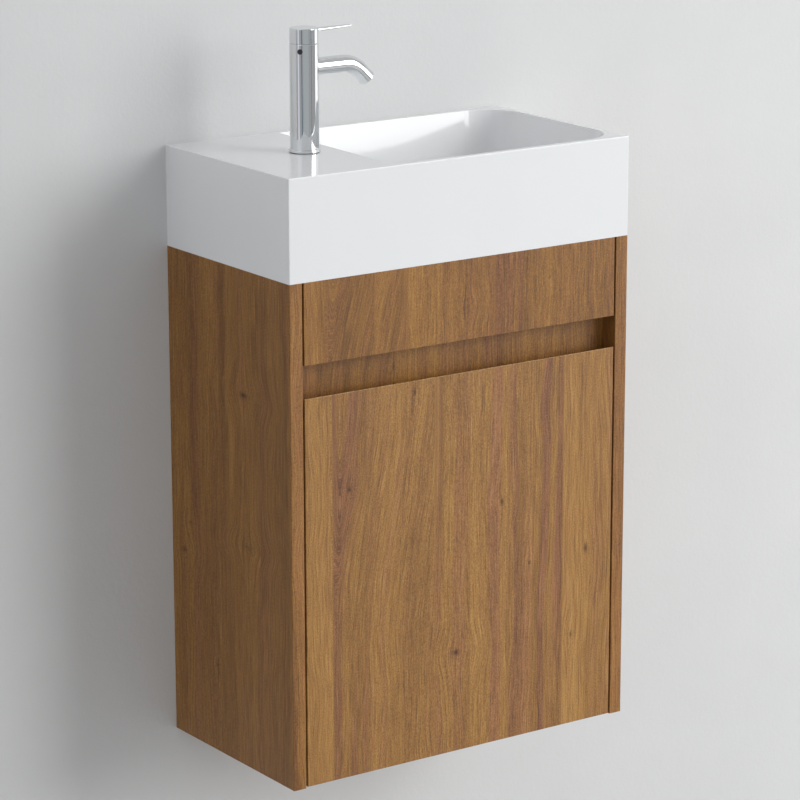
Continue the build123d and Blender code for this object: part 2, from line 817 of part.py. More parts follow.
trap_back_y = waste_y + trap_boss_length
with BuildPart() as trap_body:
    add(turned(
        waste_x, waste_y,
        (trap_radius - trap_wall, trap_lower),
        (trap_radius, trap_lower),
        (trap_radius, outlet_z + trap_shoulder),
        (trap_collar_radius, outlet_z + trap_shoulder + trap_wall),
        (trap_collar_radius, trap_upper),
        (tube_radius + tube_clearance, trap_upper),
        (tube_radius + tube_clearance, outlet_z + trap_shoulder - trap_wall),
        (trap_radius - trap_wall, outlet_z + trap_shoulder - 2 * trap_wall),
    ))
    add(rod((waste_x, waste_y + trap_radius - trap_wall / 2, outlet_z), (0, 1, 0), trap_collar_radius,
            trap_boss_length - trap_radius + trap_wall / 2))
    add(rod((waste_x, waste_y + tube_radius + tube_clearance + trap_wall, outlet_z), (0, 1, 0),
            tube_radius + tube_clearance, trap_boss_length), mode=Mode.SUBTRACT)
save(trap_body.part, "trap_body")

with BuildPart() as trap_cup:
    add(turned(
        waste_x, waste_y,
        (0, trap_lower - cup_depth),
        (cup_body_radius - cup_lip_height, trap_lower - cup_depth),
        (cup_body_radius, trap_lower - cup_depth + cup_lip_height),
        (cup_body_radius, trap_lower - cup_lip_height),
        (trap_radius, trap_lower - cup_lip_height),
        (trap_radius, trap_lower),
        (trap_radius - trap_wall, trap_lower),
        (trap_radius - trap_wall, trap_lower + cup_neck_height),
        (cup_body_radius - 1.5 * trap_wall, trap_lower + cup_neck_height),
        (cup_body_radius - 1.5 * trap_wall, trap_lower - cup_depth + trap_wall),
        (0, trap_lower - cup_depth + trap_wall),
    ))
save(trap_cup.part, "trap_cup")

with BuildPart() as outlet_nut:
    add(rod((waste_x, trap_back_y - outlet_nut_grip, outlet_z), (0, 1, 0), outlet_nut_radius,
            outlet_nut_length))
    add(rod((waste_x, trap_back_y - outlet_nut_grip, outlet_z), (0, 1, 0), trap_collar_radius,
            outlet_nut_grip), mode=Mode.SUBTRACT)
    add(rod((waste_x, trap_back_y, outlet_z), (0, 1, 0), tube_radius + tube_clearance,
            outlet_nut_length), mode=Mode.SUBTRACT)
save(outlet_nut.part, "outlet_nut")

with BuildPart() as outlet_pipe:
    add(tube((waste_x, trap_back_y - pipe_insertion, outlet_z), (0, 1, 0), tube_radius,
             tube_bore_radius, pipe_insertion - trap_back_y))
save(outlet_pipe.part, "outlet_pipe")

with BuildPart() as wall_rosette:
    add(tube((waste_x, 0, outlet_z), (0, -1, 0), rosette_radius, tube_radius + tube_clearance,
             rosette_depth))
    fillet(wall_rosette.edges().group_by(Axis.Y)[0].sort_by(SortBy.RADIUS)[-1], rosette_depth / 2)
save(wall_rosette.part, "wall_rosette")

# Tap body, with its shank through the deck and a bore for the cartridge
index_direction = (math.cos(math.radians(index_angle)), math.sin(math.radians(index_angle)), 0)
index_z = tap_top - index_drop
index_start = Vector(tap_x, tap_y, index_z) + Vector(*index_direction) * (tap_radius - index_sink)
with BuildPart() as tap_body:
    add(turned(
        tap_x, tap_y,
        (0, unit_top - shank_length),
        (shank_radius, unit_top - shank_length),
        (shank_radius, tap_base),
        (tap_radius, tap_base),
        (tap_radius, tap_top),
        (tap_bore_radius, tap_top),
        (tap_bore_radius, cartridge_base),
        (0, cartridge_base),
    ))
    for side in (-1, 1):
        inlet = (tap_x + side * inlet_spacing / 2, tap_y, unit_top - shank_length)
        add(rod(inlet, (0, 0, 1), inlet_radius, inlet_length), mode=Mode.SUBTRACT)
        add(rod(inlet, (0, 0, 1), waterway_radius, cartridge_base - unit_top + shank_length),
            mode=Mode.SUBTRACT)
    add(rod((tap_x, tap_y, spout_z), (1, 0, 0), spout_bore_radius, 2 * tap_radius), mode=Mode.SUBTRACT)
    add(rod(index_start, index_direction, index_radius, tap_radius), mode=Mode.SUBTRACT)
save(tap_body.part, "tap_body")

with BuildPart() as tap_base_seal:
    add(tube((tap_x, tap_y, unit_top), (0, 0, 1), base_ring_radius - base_seal_height, shank_radius,
             base_seal_height))
save(tap_base_seal.part, "tap_base_seal")

with BuildPart() as tap_base_ring:
    add(tube((tap_x, tap_y, unit_top + base_seal_height), (0, 0, 1), base_ring_radius, shank_radius,
             base_ring_height))
    fillet(tap_base_ring.edges().group_by(Axis.Z)[-1].sort_by(SortBy.RADIUS)[-1], base_ring_height / 3)
save(tap_base_ring.part, "tap_base_ring")

deck_underside = unit_top - deck_thickness
with BuildPart() as shank_washer:
    add(tube((tap_x, tap_y, deck_underside), (0, 0, -1), shank_washer_radius, shank_radius,
             shank_washer_height))
save(shank_washer.part, "shank_washer")

with BuildPart() as shank_nut:
    with BuildSketch(Plane.XY.offset(deck_underside - shank_washer_height - shank_nut_height)):
        with Locations((tap_x, tap_y)):
            RegularPolygon(shank_nut_flats / 2, 6, major_radius=False)
            Circle(shank_radius, mode=Mode.SUBTRACT)
    extrude(amount=shank_nut_height)
save(shank_nut.part, "shank_nut")

# Spout: level, then one bend down to a square-cut outlet
spout_drop = (spout_reach - spout_corner_reach) * math.tan(math.radians(spout_angle))
outlet_end = Vector(tap_x + spout_reach, tap_y, spout_z - spout_drop)
outlet_direction = Vector(math.cos(math.radians(spout_angle)), 0, -math.sin(math.radians(spout_angle)))
with BuildPart() as spout:
    with BuildLine() as spout_path:
        FilletPolyline(
            (tap_x + tap_bore_radius / 2, tap_y, spout_z),
            (tap_x + spout_corner_reach, tap_y, spout_z),
            outlet_end,
            radius=spout_bend,
        )
    with BuildSketch(Plane(origin=spout_path.line @ 0, z_dir=spout_path.line % 0)):
        Circle(spout_radius)
        Circle(spout_bore_radius, mode=Mode.SUBTRACT)
    sweep()
    add(rod((tap_x, tap_y, unit_top), (0, 0, 1), tap_radius, 2 * spout_height), mode=Mode.SUBTRACT)
save(spout.part, "spout")

aerator_face = outlet_end - outlet_direction * aerator_recess
with BuildPart() as aerator:
    add(rod(aerator_face, outlet_direction * -1, spout_bore_radius, aerator_length))
    with BuildSketch(Plane(origin=aerator_face, z_dir=outlet_direction * -1)):
        with HexLocations(aerator_hole_apothem, aerator_hole_rows, aerator_hole_rows):
            Circle(aerator_hole_radius)
    extrude(amount=aerator_hole_depth, mode=Mode.SUBTRACT)
save(aerator.part, "aerator")

with BuildPart() as index_plug:
    add(rod(index_start, index_direction, index_radius, index_sink + index_proud))
save(index_plug.part, "index_plug")

# Mixing cartridge, turret and the dome that holds them down
turret_floor = pivot_z - turret_drop
with BuildPart() as cartridge_body:
    add(turned(
        tap_x, tap_y,
        (0, cartridge_base),
        (tap_bore_radius, cartridge_base),
        (tap_bore_radius, cartridge_base + cartridge_flange_height),
        (cartridge_neck_radius, cartridge_base + cartridge_flange_height),
        (cartridge_neck_radius, cartridge_base + cartridge_height),
        (turret_radius + turret_clearance, cartridge_base + cartridge_height),
        (turret_radius + turret_clearance, turret_floor),
        (0, turret_floor),
    ))
    for side in (-1, 1):
        add(rod((tap_x + side * inlet_spacing / 2, tap_y, cartridge_base), (0, 0, 1), waterway_radius,
                spout_z - cartridge_base - waterway_radius), mode=Mode.SUBTRACT)
    add(rod((tap_x, tap_y, spout_z - 2 * waterway_radius), (1, 0, 0), waterway_radius, tap_bore_radius),
        mode=Mode.SUBTRACT)
save(cartridge_body.part, "cartridge_body")


def sphere_height(sphere_radius, radius):
    # Height of a sphere about the handle's pivot, at a distance from the upright axis
    return pivot_z + math.sqrt(sphere_radius ** 2 - radius ** 2)


with BuildPart() as dome_cover:
    with BuildSketch(Plane(origin=(tap_x, tap_y, 0), x_dir=(1, 0, 0), z_dir=(0, -1, 0))):
        with BuildLine():
            rim = (tap_radius, sphere_height(dome_radius, tap_radius))
            mouth_edge = (dome_mouth_radius, sphere_height(dome_radius, dome_mouth_radius))
            RadiusArc(rim, mouth_edge, -dome_radius)
            Polyline(
                mouth_edge,
                (dome_mouth_radius, tap_top + dome_gap),
                (cartridge_neck_radius + cam_clearance, tap_top),
                (cartridge_neck_radius + cam_clearance, tap_top - dome_skirt_length),
                (tap_bore_radius, tap_top - dome_skirt_length),
                (tap_bore_radius, tap_top),
                (tap_radius, tap_top),
                rim,
            )
        make_face()
    revolve(axis=Axis((tap_x, tap_y, 0), (0, 0, 1)))
save(dome_cover.part, "dome_cover")

pin_start = (tap_x, tap_y - turret_pin_length / 2, pivot_z)
with BuildPart() as cartridge_turret:
    add(rod((tap_x, tap_y, turret_floor), (0, 0, 1), turret_radius, turret_drop + turret_rise))
    add(slab(tap_x - turret_radius, tap_x + turret_radius, tap_y - turret_slot / 2, tap_y + turret_slot / 2,
             pivot_z - stem_tail - stem_tail_gap, pivot_z + turret_rise), mode=Mode.SUBTRACT)
    add(rod(pin_start, (0, 1, 0), turret_pin_radius, turret_pin_length), mode=Mode.SUBTRACT)
save(cartridge_turret.part, "cartridge_turret")

with BuildPart() as turret_pin:
    add(rod(pin_start, (0, 1, 0), turret_pin_radius, turret_pin_length))
save(turret_pin.part, "turret_pin")

with BuildPart() as handle_stem:
    add(slab(tap_x - stem_thickness / 2, tap_x + stem_thickness / 2, tap_y - stem_width / 2,
             tap_y + stem_width / 2, pivot_z - stem_tail, pivot_z + stem_shoulder))
    add(rod((tap_x, tap_y, pivot_z), (0, 0, 1), stem_radius, stem_reach))
    add(rod(pin_start, (0, 1, 0), turret_pin_radius + turret_pin_clearance, turret_pin_length),
        mode=Mode.SUBTRACT)
save(handle_stem.part, "handle_stem")

# Handle cap: a drum with a hollow that slides over the dome
cap_sphere = dome_radius + dome_gap
lever_z = cap_top - lever_drop - lever_root_height / 2
grub_z = cap_top - grub_drop
grub_start = (tap_x, tap_y + stem_radius, grub_z)
with BuildPart() as handle_cap:
    with BuildSketch(Plane(origin=(tap_x, tap_y, 0), x_dir=(1, 0, 0), z_dir=(0, -1, 0))):
        with BuildLine():
            cap_rim = (cap_radius, sphere_height(cap_sphere, cap_radius))
            crown = (0, pivot_z + cap_sphere)
            RadiusArc(cap_rim, crown, -cap_sphere)
            Polyline(crown, (0, cap_top), (cap_radius, cap_top), cap_rim)
        make_face()
    revolve(axis=Axis((tap_x, tap_y, 0), (0, 0, 1)))
    fillet(handle_cap.edges().group_by(Axis.Z)[-1], cap_edge_round)
    add(rod((tap_x, tap_y, pivot_z), (0, 0, 1), stem_radius, stem_reach), mode=Mode.SUBTRACT)
    add(rod((tap_x + lever_stub_start, tap_y, lever_z), (1, 0, 0), lever_stub_radius, cap_radius),
        mode=Mode.SUBTRACT)
    add(rod(grub_start, (0, 1, 0), grub_radius, cap_radius), mode=Mode.SUBTRACT)
save(handle_cap.part, "handle_cap")

lever_top = cap_top - lever_drop
lever_root = cap_radius - lever_cap_overlap
with BuildPart() as lever_rod:
    for share in (0, 0.5, 1):
        reach = lever_root + (lever_length - lever_root) * share
        width = lever_root_width + (lever_tip_width - lever_root_width) * share
        thick = lever_root_height + (lever_tip_height - lever_root_height) * share ** 2
        with BuildSketch(Plane(origin=(tap_x + reach, tap_y, lever_top - thick / 2), x_dir=(0, 1, 0),
                               z_dir=(1, 0, 0))):
            Ellipse(width / 2, thick / 2)
    loft()
    add(rod((tap_x, tap_y, pivot_z), (0, 0, 1), cap_radius, cap_height), mode=Mode.SUBTRACT)
    add(rod((tap_x + lever_stub_start, tap_y, lever_z), (1, 0, 0), lever_stub_radius,
            cap_radius - lever_stub_start + lever_stub_overlap))
save(lever_rod.part, "lever_rod")

with BuildPart() as grub_screw:
    add(rod(grub_start, (0, 1, 0), grub_radius, grub_length))
    with BuildSketch(Plane(origin=(tap_x, tap_y + stem_radius + grub_length, grub_z), z_dir=(0, -1, 0))):
        RegularPolygon(grub_radius / 2, 6)
    extrude(amount=grub_length / 2, mode=Mode.SUBTRACT)
save(grub_screw.part, "grub_screw")
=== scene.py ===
# Wall-hung vanity unit: finishes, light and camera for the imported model
import json
import math
import bpy
import numpy as np
from mathutils import Matrix, Vector

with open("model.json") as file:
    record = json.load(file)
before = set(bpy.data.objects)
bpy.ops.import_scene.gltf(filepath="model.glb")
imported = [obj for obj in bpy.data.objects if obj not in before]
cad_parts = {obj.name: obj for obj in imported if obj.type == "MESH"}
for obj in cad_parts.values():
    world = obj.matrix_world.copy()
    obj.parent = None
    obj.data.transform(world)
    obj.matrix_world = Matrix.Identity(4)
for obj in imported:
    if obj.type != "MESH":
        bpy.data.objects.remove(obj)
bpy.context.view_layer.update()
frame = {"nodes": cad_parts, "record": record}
print("model loaded:", len(frame["nodes"]), "nodes")


# Small helpers for node trees

def addNode(tree, kind, inputs=None, **settings):
    # a node with its settings, its linked sockets and its fixed values
    node = tree.nodes.new(kind)
    for key, value in settings.items():
        setattr(node, key, value)
    for key, value in (inputs or {}).items():
        if isinstance(value, bpy.types.NodeSocket):
            tree.links.new(value, node.inputs[key])
        else:
            node.inputs[key].default_value = value
    return node


def calc(tree, operation, *values, clamp=False):
    # one Math node on up to three values
    node = addNode(tree, "ShaderNodeMath", dict(enumerate(values)), operation=operation, use_clamp=clamp)
    return node.outputs[0]


def total(tree, *values):
    # the sum of several values
    result = values[0]
    for value in values[1:]:
        result = calc(tree, "ADD", result, value)
    return result


def mixColours(tree, factor, first, second, mode="MIX"):
    # first and second blended by factor
    node = addNode(tree, "ShaderNodeMix", data_type="RGBA", blend_type=mode)
    for socket, value in ((0, factor), (6, first), (7, second)):
        if isinstance(value, bpy.types.NodeSocket):
            tree.links.new(value, node.inputs[socket])
        else:
            node.inputs[socket].default_value = value
    return node.outputs[2]


def ramp(tree, factor, stops, interpolation="LINEAR"):
    # a colour ramp from (place, colour) stops
    node = addNode(tree, "ShaderNodeValToRGB", {"Fac": factor})
    elements = node.color_ramp.elements
    node.color_ramp.interpolation = interpolation
    while len(elements) < len(stops):
        elements.new(0.5)
    for element, (place, colour) in zip(elements, stops):
        element.position = place
        element.color = (*colour, 1.0)
    return node.outputs["Color"]


def band(tree, value, low, high):
    # 0 below low, 1 above high, smooth between
    node = addNode(tree, "ShaderNodeMapRange", {"Value": value, "From Min": low, "From Max": high},
                   interpolation_type="SMOOTHSTEP")
    return node.outputs["Result"]


def noise(tree, vector, scale=1.0, detail=2.0, roughness=0.5, distortion=0.0):
    # soft noise about 0.5
    return addNode(tree, "ShaderNodeTexNoise", {
        "Vector": vector, "Scale": scale, "Detail": detail, "Roughness": roughness,
        "Distortion": distortion}).outputs["Fac"]


def stretched(tree, x, y, z, scales):
    # a vector with each part scaled by its own factor
    parts = [calc(tree, "MULTIPLY", value, scale) for value, scale in zip((x, y, z), scales)]
    return addNode(tree, "ShaderNodeCombineXYZ", dict(enumerate(parts))).outputs[0]


def newGroup(name, inputs, outputs):
    # an empty node group with named sockets
    group = bpy.data.node_groups.new(name, "ShaderNodeTree")
    for label, kind in inputs:
        group.interface.new_socket(label, in_out="INPUT", socket_type=kind)
    for label, kind in outputs:
        group.interface.new_socket(label, in_out="OUTPUT", socket_type=kind)
    return group, group.nodes.new("NodeGroupInput").outputs, group.nodes.new("NodeGroupOutput").inputs


def fillGroup(tree, group, inputs):
    # a group placed in a tree with its own values
    node = tree.nodes.new("ShaderNodeGroup")
    node.node_tree = group
    for key, value in inputs.items():
        if isinstance(value, bpy.types.NodeSocket):
            tree.links.new(value, node.inputs[key])
        else:
            node.inputs[key].default_value = value
    return node


def newMaterial(name):
    # an empty material, its tree, its shader and its object coordinates
    material = bpy.data.materials.new(name)
    material.use_nodes = True
    tree = material.node_tree
    shader = tree.nodes["Principled BSDF"]
    place = tree.nodes.new("ShaderNodeTexCoord").outputs["Object"]
    return material, tree, shader, place


def setBump(tree, shader, height, strength, distance):
    # height, in units of the distance, bends the shader's normal
    bump = addNode(tree, "ShaderNodeBump", {"Height": height, "Strength": strength, "Distance": distance})
    tree.links.new(bump.outputs[0], shader.inputs["Normal"])


def dress(material, *nodes):
    # gives CAD nodes their finish
    for name in nodes:
        for slot in frame["nodes"][name].material_slots:
            slot.material = material


# Wood: staves side by side, each with its own streaks, fibres and pores

wood = {
    "dark": (0.130, 0.056, 0.016),
    "low": (0.222, 0.101, 0.025),
    "middle": (0.308, 0.145, 0.036),
    "high": (0.400, 0.201, 0.050),
    "pale": (0.510, 0.280, 0.082),
    "toneStops": [(0.05, "dark"), (0.32, "low"), (0.50, "middle"), (0.68, "high"), (0.95, "pale")],
    "redTint": (0.90, 0.80, 1.30, 1.0),
    "poreTint": (0.55, 0.48, 0.42, 1.0),
    "knotTint": (0.26, 0.20, 0.16, 1.0),
    "wander": 0.019,  # sideways sway of the grain, in metres
    "toneShare": 0.25,  # how much a stave's own tone shifts the value
    "shares": {"broad": 0.54, "patch": 0.28, "streak": 0.30, "fibre": 1.10, "mottle": 0.80},
    "linesPerMetre": 150.0, "lineSway": 2.4, "lineSharpness": 5.0, "lineBand": (0.42, 0.62), "lineDepth": 0.26,
    "poreBand": (0.60, 0.74), "poreDepth": 0.55,
    "redBand": (0.44, 0.62),
    "relief": {"fibre": 0.5, "streak": 0.25, "mottle": 0.35}, "poreRelief": 0.5,
    "roughness": 0.40, "poreRoughness": 0.12, "mottleRoughness": 0.14,
    "specular": 0.42, "bump": 0.35, "bumpHeight": 0.00025,
    "thickShare": 0.6,  # how fast the figure changes through the board
    "archMargin": 0.006, "staveBlend": 0.0008, "seedStep": 0.37,
}

# Each noise of the figure: its scales across the grain, per stave and along the grain, then its detail
# and roughness
grain = {
    "drift": ((17.0, 31.0, 7.0), 2.0, 0.5),
    "broad": ((60.0, 47.0, 2.6), 2.0, 0.5),
    "patch": ((150.0, 61.0, 24.0), 3.0, 0.6),
    "streak": ((330.0, 83.0, 11.0), 3.0, 0.6),
    "fibre": ((1150.0, 19.0, 29.0), 2.0, 0.65),
    "pores": ((2300.0, 7.0, 210.0), 1.0, 0.5),
    "mottle": ((950.0, 3.0, 620.0), 1.0, 0.7),
    "redBands": ((95.0, 29.0, 1.9), 1.0, 0.5),
}


def makeWoodGroup(settings, layers):
    # Value = tone + broad bands + patches + streaks + fibres + mottle - growth lines, and a ramp turns it
    # into colour
    group, given, made = newGroup(
        "staveFigure",
        [(label, "NodeSocketFloat") for label in ("Across", "Along", "Stave", "Tone", "Redness", "Knot")],
        [("Color", "NodeSocketColor"), ("Roughness", "NodeSocketFloat"), ("Height", "NodeSocketFloat")])
    across, along, stave = given["Across"], given["Along"], given["Stave"]

    def layer(name, sideways):
        # one noise of the figure
        scales, detail, roughness = layers[name]
        place = stretched(group, sideways, stave, along, scales)
        return noise(group, place, detail=detail, roughness=roughness)

    drift = calc(group, "SUBTRACT", layer("drift", across), 0.5)
    wandered = calc(group, "MULTIPLY_ADD", drift, settings["wander"], across)
    field = {name: layer(name, wandered)
             for name in ("broad", "patch", "streak", "fibre", "pores", "redBands")}
    field["mottle"] = layer("mottle", across)
    poreMask = band(group, field["pores"], *settings["poreBand"])

    # growth lines are the crests of a zigzag across the grain, shown only in some patches
    phase = calc(group, "MULTIPLY_ADD", field["broad"], settings["lineSway"],
                 calc(group, "MULTIPLY", wandered, settings["linesPerMetre"]))
    crest = calc(group, "POWER", calc(group, "PINGPONG", phase, 0.5), settings["lineSharpness"])
    fullCrest = calc(group, "MULTIPLY", crest, 2.0 ** settings["lineSharpness"])
    lineMask = calc(group, "MULTIPLY", fullCrest, band(group, field["patch"], *settings["lineBand"]))

    value = total(
        group, 0.5,
        calc(group, "MULTIPLY", given["Tone"], settings["toneShare"]),
        *(calc(group, "MULTIPLY", calc(group, "SUBTRACT", field[name], 0.5), share)
          for name, share in settings["shares"].items()),
        calc(group, "MULTIPLY", lineMask, -settings["lineDepth"]))
    colour = ramp(group, value, [(place, settings[tone]) for place, tone in settings["toneStops"]])

    redMask = calc(group, "MULTIPLY", band(group, field["redBands"], *settings["redBand"]), given["Redness"],
                   clamp=True)
    poreShare = calc(group, "MULTIPLY", poreMask, settings["poreDepth"])
    for share, tint in ((redMask, "redTint"), (poreShare, "poreTint"), (given["Knot"], "knotTint")):
        colour = mixColours(group, share, colour, settings[tint], "MULTIPLY")

    height = total(
        group,
        *(calc(group, "MULTIPLY", field[name], share) for name, share in settings["relief"].items()),
        calc(group, "MULTIPLY", poreMask, -settings["poreRelief"]))
    rough = total(group, settings["roughness"], calc(group, "MULTIPLY", poreMask, settings["poreRoughness"]),
                  calc(group, "MULTIPLY", field["mottle"], settings["mottleRoughness"]))
    for socket, result in (("Color", colour), ("Roughness", rough), ("Height", height)):
        group.links.new(result, made[socket])
    return group


knots = {"darkFalloff": 2.5, "pushFalloff": 0.045, "push": 0.45}


def makeKnotGroup(settings):
    # Mask = exp(-darkFalloff d2) and Push = -push * offset * exp(-pushFalloff d2), with d2 the square of the
    # distance in knot radii
    group, given, made = newGroup(
        "grainKnot",
        [(label, "NodeSocketFloat")
         for label in ("Across", "Along", "Middle Across", "Middle Along", "Radius", "Stretch")],
        [("Mask", "NodeSocketFloat"), ("Push", "NodeSocketFloat")])
    offAcross = calc(group, "SUBTRACT", given["Across"], given["Middle Across"])
    offAlong = calc(group, "SUBTRACT", given["Along"], given["Middle Along"])
    u = calc(group, "DIVIDE", offAcross, given["Radius"])
    v = calc(group, "DIVIDE", offAlong, calc(group, "MULTIPLY", given["Radius"], given["Stretch"]))
    square = calc(group, "MULTIPLY_ADD", u, u, calc(group, "MULTIPLY", v, v))
    mask = calc(group, "EXPONENT", calc(group, "MULTIPLY", square, -settings["darkFalloff"]))
    reach = calc(group, "EXPONENT", calc(group, "MULTIPLY", square, -settings["pushFalloff"]))
    group.links.new(mask, made["Mask"])
    group.links.new(calc(group, "MULTIPLY", calc(group, "MULTIPLY", offAcross, reach), -settings["push"]),
                    made["Push"])
    return group


woodGroup = makeWoodGroup(wood, grain)
knotGroup = makeKnotGroup(knots)
print("wood groups built")


def bendGrain(tree, across, along, settings):
    # how dark the knots make a place, and how far they and the arched growth lines turn its grain aside
    knotMask, push = 0.0, 0.0
    for middleAcross, middleAlong, radius, stretch, depth in settings.get("knots", []):
        knot = fillGroup(tree, knotGroup, {
            "Across": across, "Along": along, "Middle Across": middleAcross, "Middle Along": middleAlong,
            "Radius": radius, "Stretch": stretch})
        knotMask = calc(tree, "MAXIMUM", knotMask, calc(tree, "MULTIPLY", knot.outputs["Mask"], depth))
        push = calc(tree, "ADD", push, knot.outputs["Push"])
    if "arch" in settings:
        left, right, foot, top, reach = settings["arch"]
        margin = wood["archMargin"]
        inside = calc(tree, "MULTIPLY", band(tree, across, left - margin, left + margin),
                      calc(tree, "SUBTRACT", 1.0, band(tree, across, right - margin, right + margin)))
        arch = calc(tree, "MULTIPLY", band(tree, along, foot, top), -reach)
        push = calc(tree, "MULTIPLY_ADD", arch, inside, push)
    return knotMask, push


def staveColours(tree, across, settings):
    # one flat colour per stave: red holds its tone, green its redness, blue its own seed
    low, high = settings["span"]
    stops = []
    for count, (edge, tone, redness) in enumerate(settings["staves"]):
        here = (edge - low) / (high - low)
        colour = (0.5 + tone / 2, redness, (count * wood["seedStep"]) % 1.0)
        if stops:
            stops.append((max(here - wood["staveBlend"], 0.0), stops[-1][1]))
        stops.append((max(here, 0.0), colour))
    where = addNode(tree, "ShaderNodeMapRange", {"Value": across, "From Min": low, "From Max": high})
    return addNode(tree, "ShaderNodeSeparateColor", {0: ramp(tree, where.outputs[0], stops)}).outputs


def paintTopEdgeHighlight(tree, colour, place, axes, edge):
    # a pale band painted along the top arris of the front is a painted highlight, stronger in some places than
    # in others
    inBand = calc(tree, "MULTIPLY", calc(tree, "GREATER_THAN", axes[2], edge["low"]),
                  calc(tree, "LESS_THAN", axes[1], edge["front"]))
    # noise sets where along the arris the painted highlight shows stronger
    wearAndHighlight = band(tree, noise(tree, place, scale=edge["scale"], detail=1.0), *edge["highlightBreakBand"])
    share = calc(tree, "MULTIPLY_ADD", wearAndHighlight, edge["highlightVaryShare"], edge["leastShare"])
    return mixColours(tree, calc(tree, "MULTIPLY", inBand, share), colour, edge["colour"])


def coverFrontEdge(tree, colour, axes, edge):
    # the band on a board's front edge has its own figure, with small slanting ticks
    banded = fillGroup(tree, woodGroup, {
        "Across": calc(tree, "ADD", axes[0], edge["shift"]), "Along": axes[2], "Stave": edge["stave"],
        "Tone": edge["tone"], "Redness": edge["redness"], "Knot": 0.0})
    slanted = calc(tree, "MULTIPLY_ADD", axes[0], edge["tickSlope"], axes[2])
    ticks = noise(tree, stretched(tree, axes[0], axes[1], slanted, edge["tickScales"]), detail=1.0)
    tickMask = calc(tree, "MULTIPLY", band(tree, ticks, *edge["tickBand"]), edge["tickDepth"])
    warm = mixColours(tree, 1.0, banded.outputs["Color"], edge["tint"], "MULTIPLY")
    ticked = mixColours(tree, tickMask, warm, wood["poreTint"], "MULTIPLY")
    return mixColours(tree, calc(tree, "LESS_THAN", axes[1], edge["limit"]), colour, ticked)


def makeWood(name, settings):
    # Veneer on the plane of two axes: each stave shifts tone and figure, and the tint multiplies the colour
    material, tree, shader, place = newMaterial(name)
    axes = addNode(tree, "ShaderNodeSeparateXYZ", {0: place}).outputs
    across, along, thick = (axes["xyz".index(settings[key])] for key in ("across", "along", "thick"))
    knotMask, push = bendGrain(tree, across, along, settings)
    staves = staveColours(tree, across, settings)
    tone = calc(tree, "MULTIPLY_ADD", staves[0], 2.0, settings["lift"] - 1.0)
    figured = fillGroup(tree, woodGroup, {
        "Across": calc(tree, "MULTIPLY_ADD", thick, wood["thickShare"], calc(tree, "ADD", across, push)),
        "Along": along, "Stave": staves[2], "Tone": tone, "Redness": staves[1], "Knot": knotMask})
    colour = figured.outputs["Color"]
    # a pale band on the top arris, where asked for, is a painted highlight
    if "topEdgeHighlight" in settings:
        colour = paintTopEdgeHighlight(tree, colour, place, axes, settings["topEdgeHighlight"])
    if "frontEdge" in settings:
        colour = coverFrontEdge(tree, colour, axes, settings["frontEdge"])
    colour = mixColours(tree, 1.0, colour, settings["tint"], "MULTIPLY")
    tree.links.new(colour, shader.inputs["Base Color"])
    tree.links.new(figured.outputs["Roughness"], shader.inputs["Roughness"])
    shader.inputs["Specular IOR Level"].default_value = wood["specular"]
    setBump(tree, shader, figured.outputs["Height"], wood["bump"], wood["bumpHeight"])
    return material


# A stave is its first edge, tone and redness; a knot its place across and along, radius, stretch and depth;
# an arch its two sides, its foot, its top and how far it leans
doorWood = {
    "across": "x", "along": "z", "thick": "y", "span": (-0.19, 0.19), "lift": 0.08,
    "tint": (1.0, 1.0, 1.0, 1.0),
    "staves": [(-0.190, 0.25, 0.1), (-0.154, -0.25, 0.9), (-0.113, 0.05, 0.35), (-0.073, 0.10, 0.2),
               (-0.033, -0.15, 0.5), (0.008, 0.15, 0.75), (0.049, 0.30, 0.25), (0.055, -0.10, 0.7),
               (0.086, -0.30, 1.0), (0.123, 0.32, 0.1), (0.160, 0.15, 0.3)],
    "arch": (-0.150, -0.030, 0.120, 0.400, 0.034),
    "knots": [(-0.0087, 0.104, 0.0060, 0.8, 0.95), (-0.134, 0.292, 0.0036, 1.2, 0.85),
              (0.047, 0.250, 0.0036, 1.3, 0.9), (0.152, 0.184, 0.0042, 1.8, 0.9),
              (0.134, 0.096, 0.0025, 2.2, 0.8), (0.081, 0.181, 0.0023, 1.3, 0.8),
              (-0.058, 0.377, 0.0024, 3.0, 0.9)],
    # a thin band at the top of the door's front is painted paler: a painted highlight along the arris
    "topEdgeHighlight": {"low": 0.3875, "front": -0.2188, "scale": 520.0, "colour": (0.56, 0.36, 0.17, 1.0),
                "highlightBreakBand": (0.42, 0.62), "highlightVaryShare": 0.6, "leastShare": 0.15},
}
fasciaWood = {
    "across": "x", "along": "z", "thick": "y", "span": (-0.19, 0.19), "lift": -0.10,
    "tint": (0.91, 0.85, 0.66, 1.0),
    "staves": [(-0.190, 0.10, 0.4), (-0.158, -0.20, 0.5), (-0.104, 0.05, 0.3), (-0.066, 0.30, 0.2),
               (-0.012, 0.10, 0.5), (0.036, -0.25, 0.9), (0.081, 0.20, 0.2), (0.132, -0.05, 0.5)],
    "arch": (-0.156, -0.070, 0.380, 0.540, 0.026),
    "knots": [(-0.069, 0.400, 0.0026, 3.0, 0.9), (0.004, 0.452, 0.0036, 0.7, 0.5),
              (0.104, 0.470, 0.0028, 1.0, 0.6)],
}
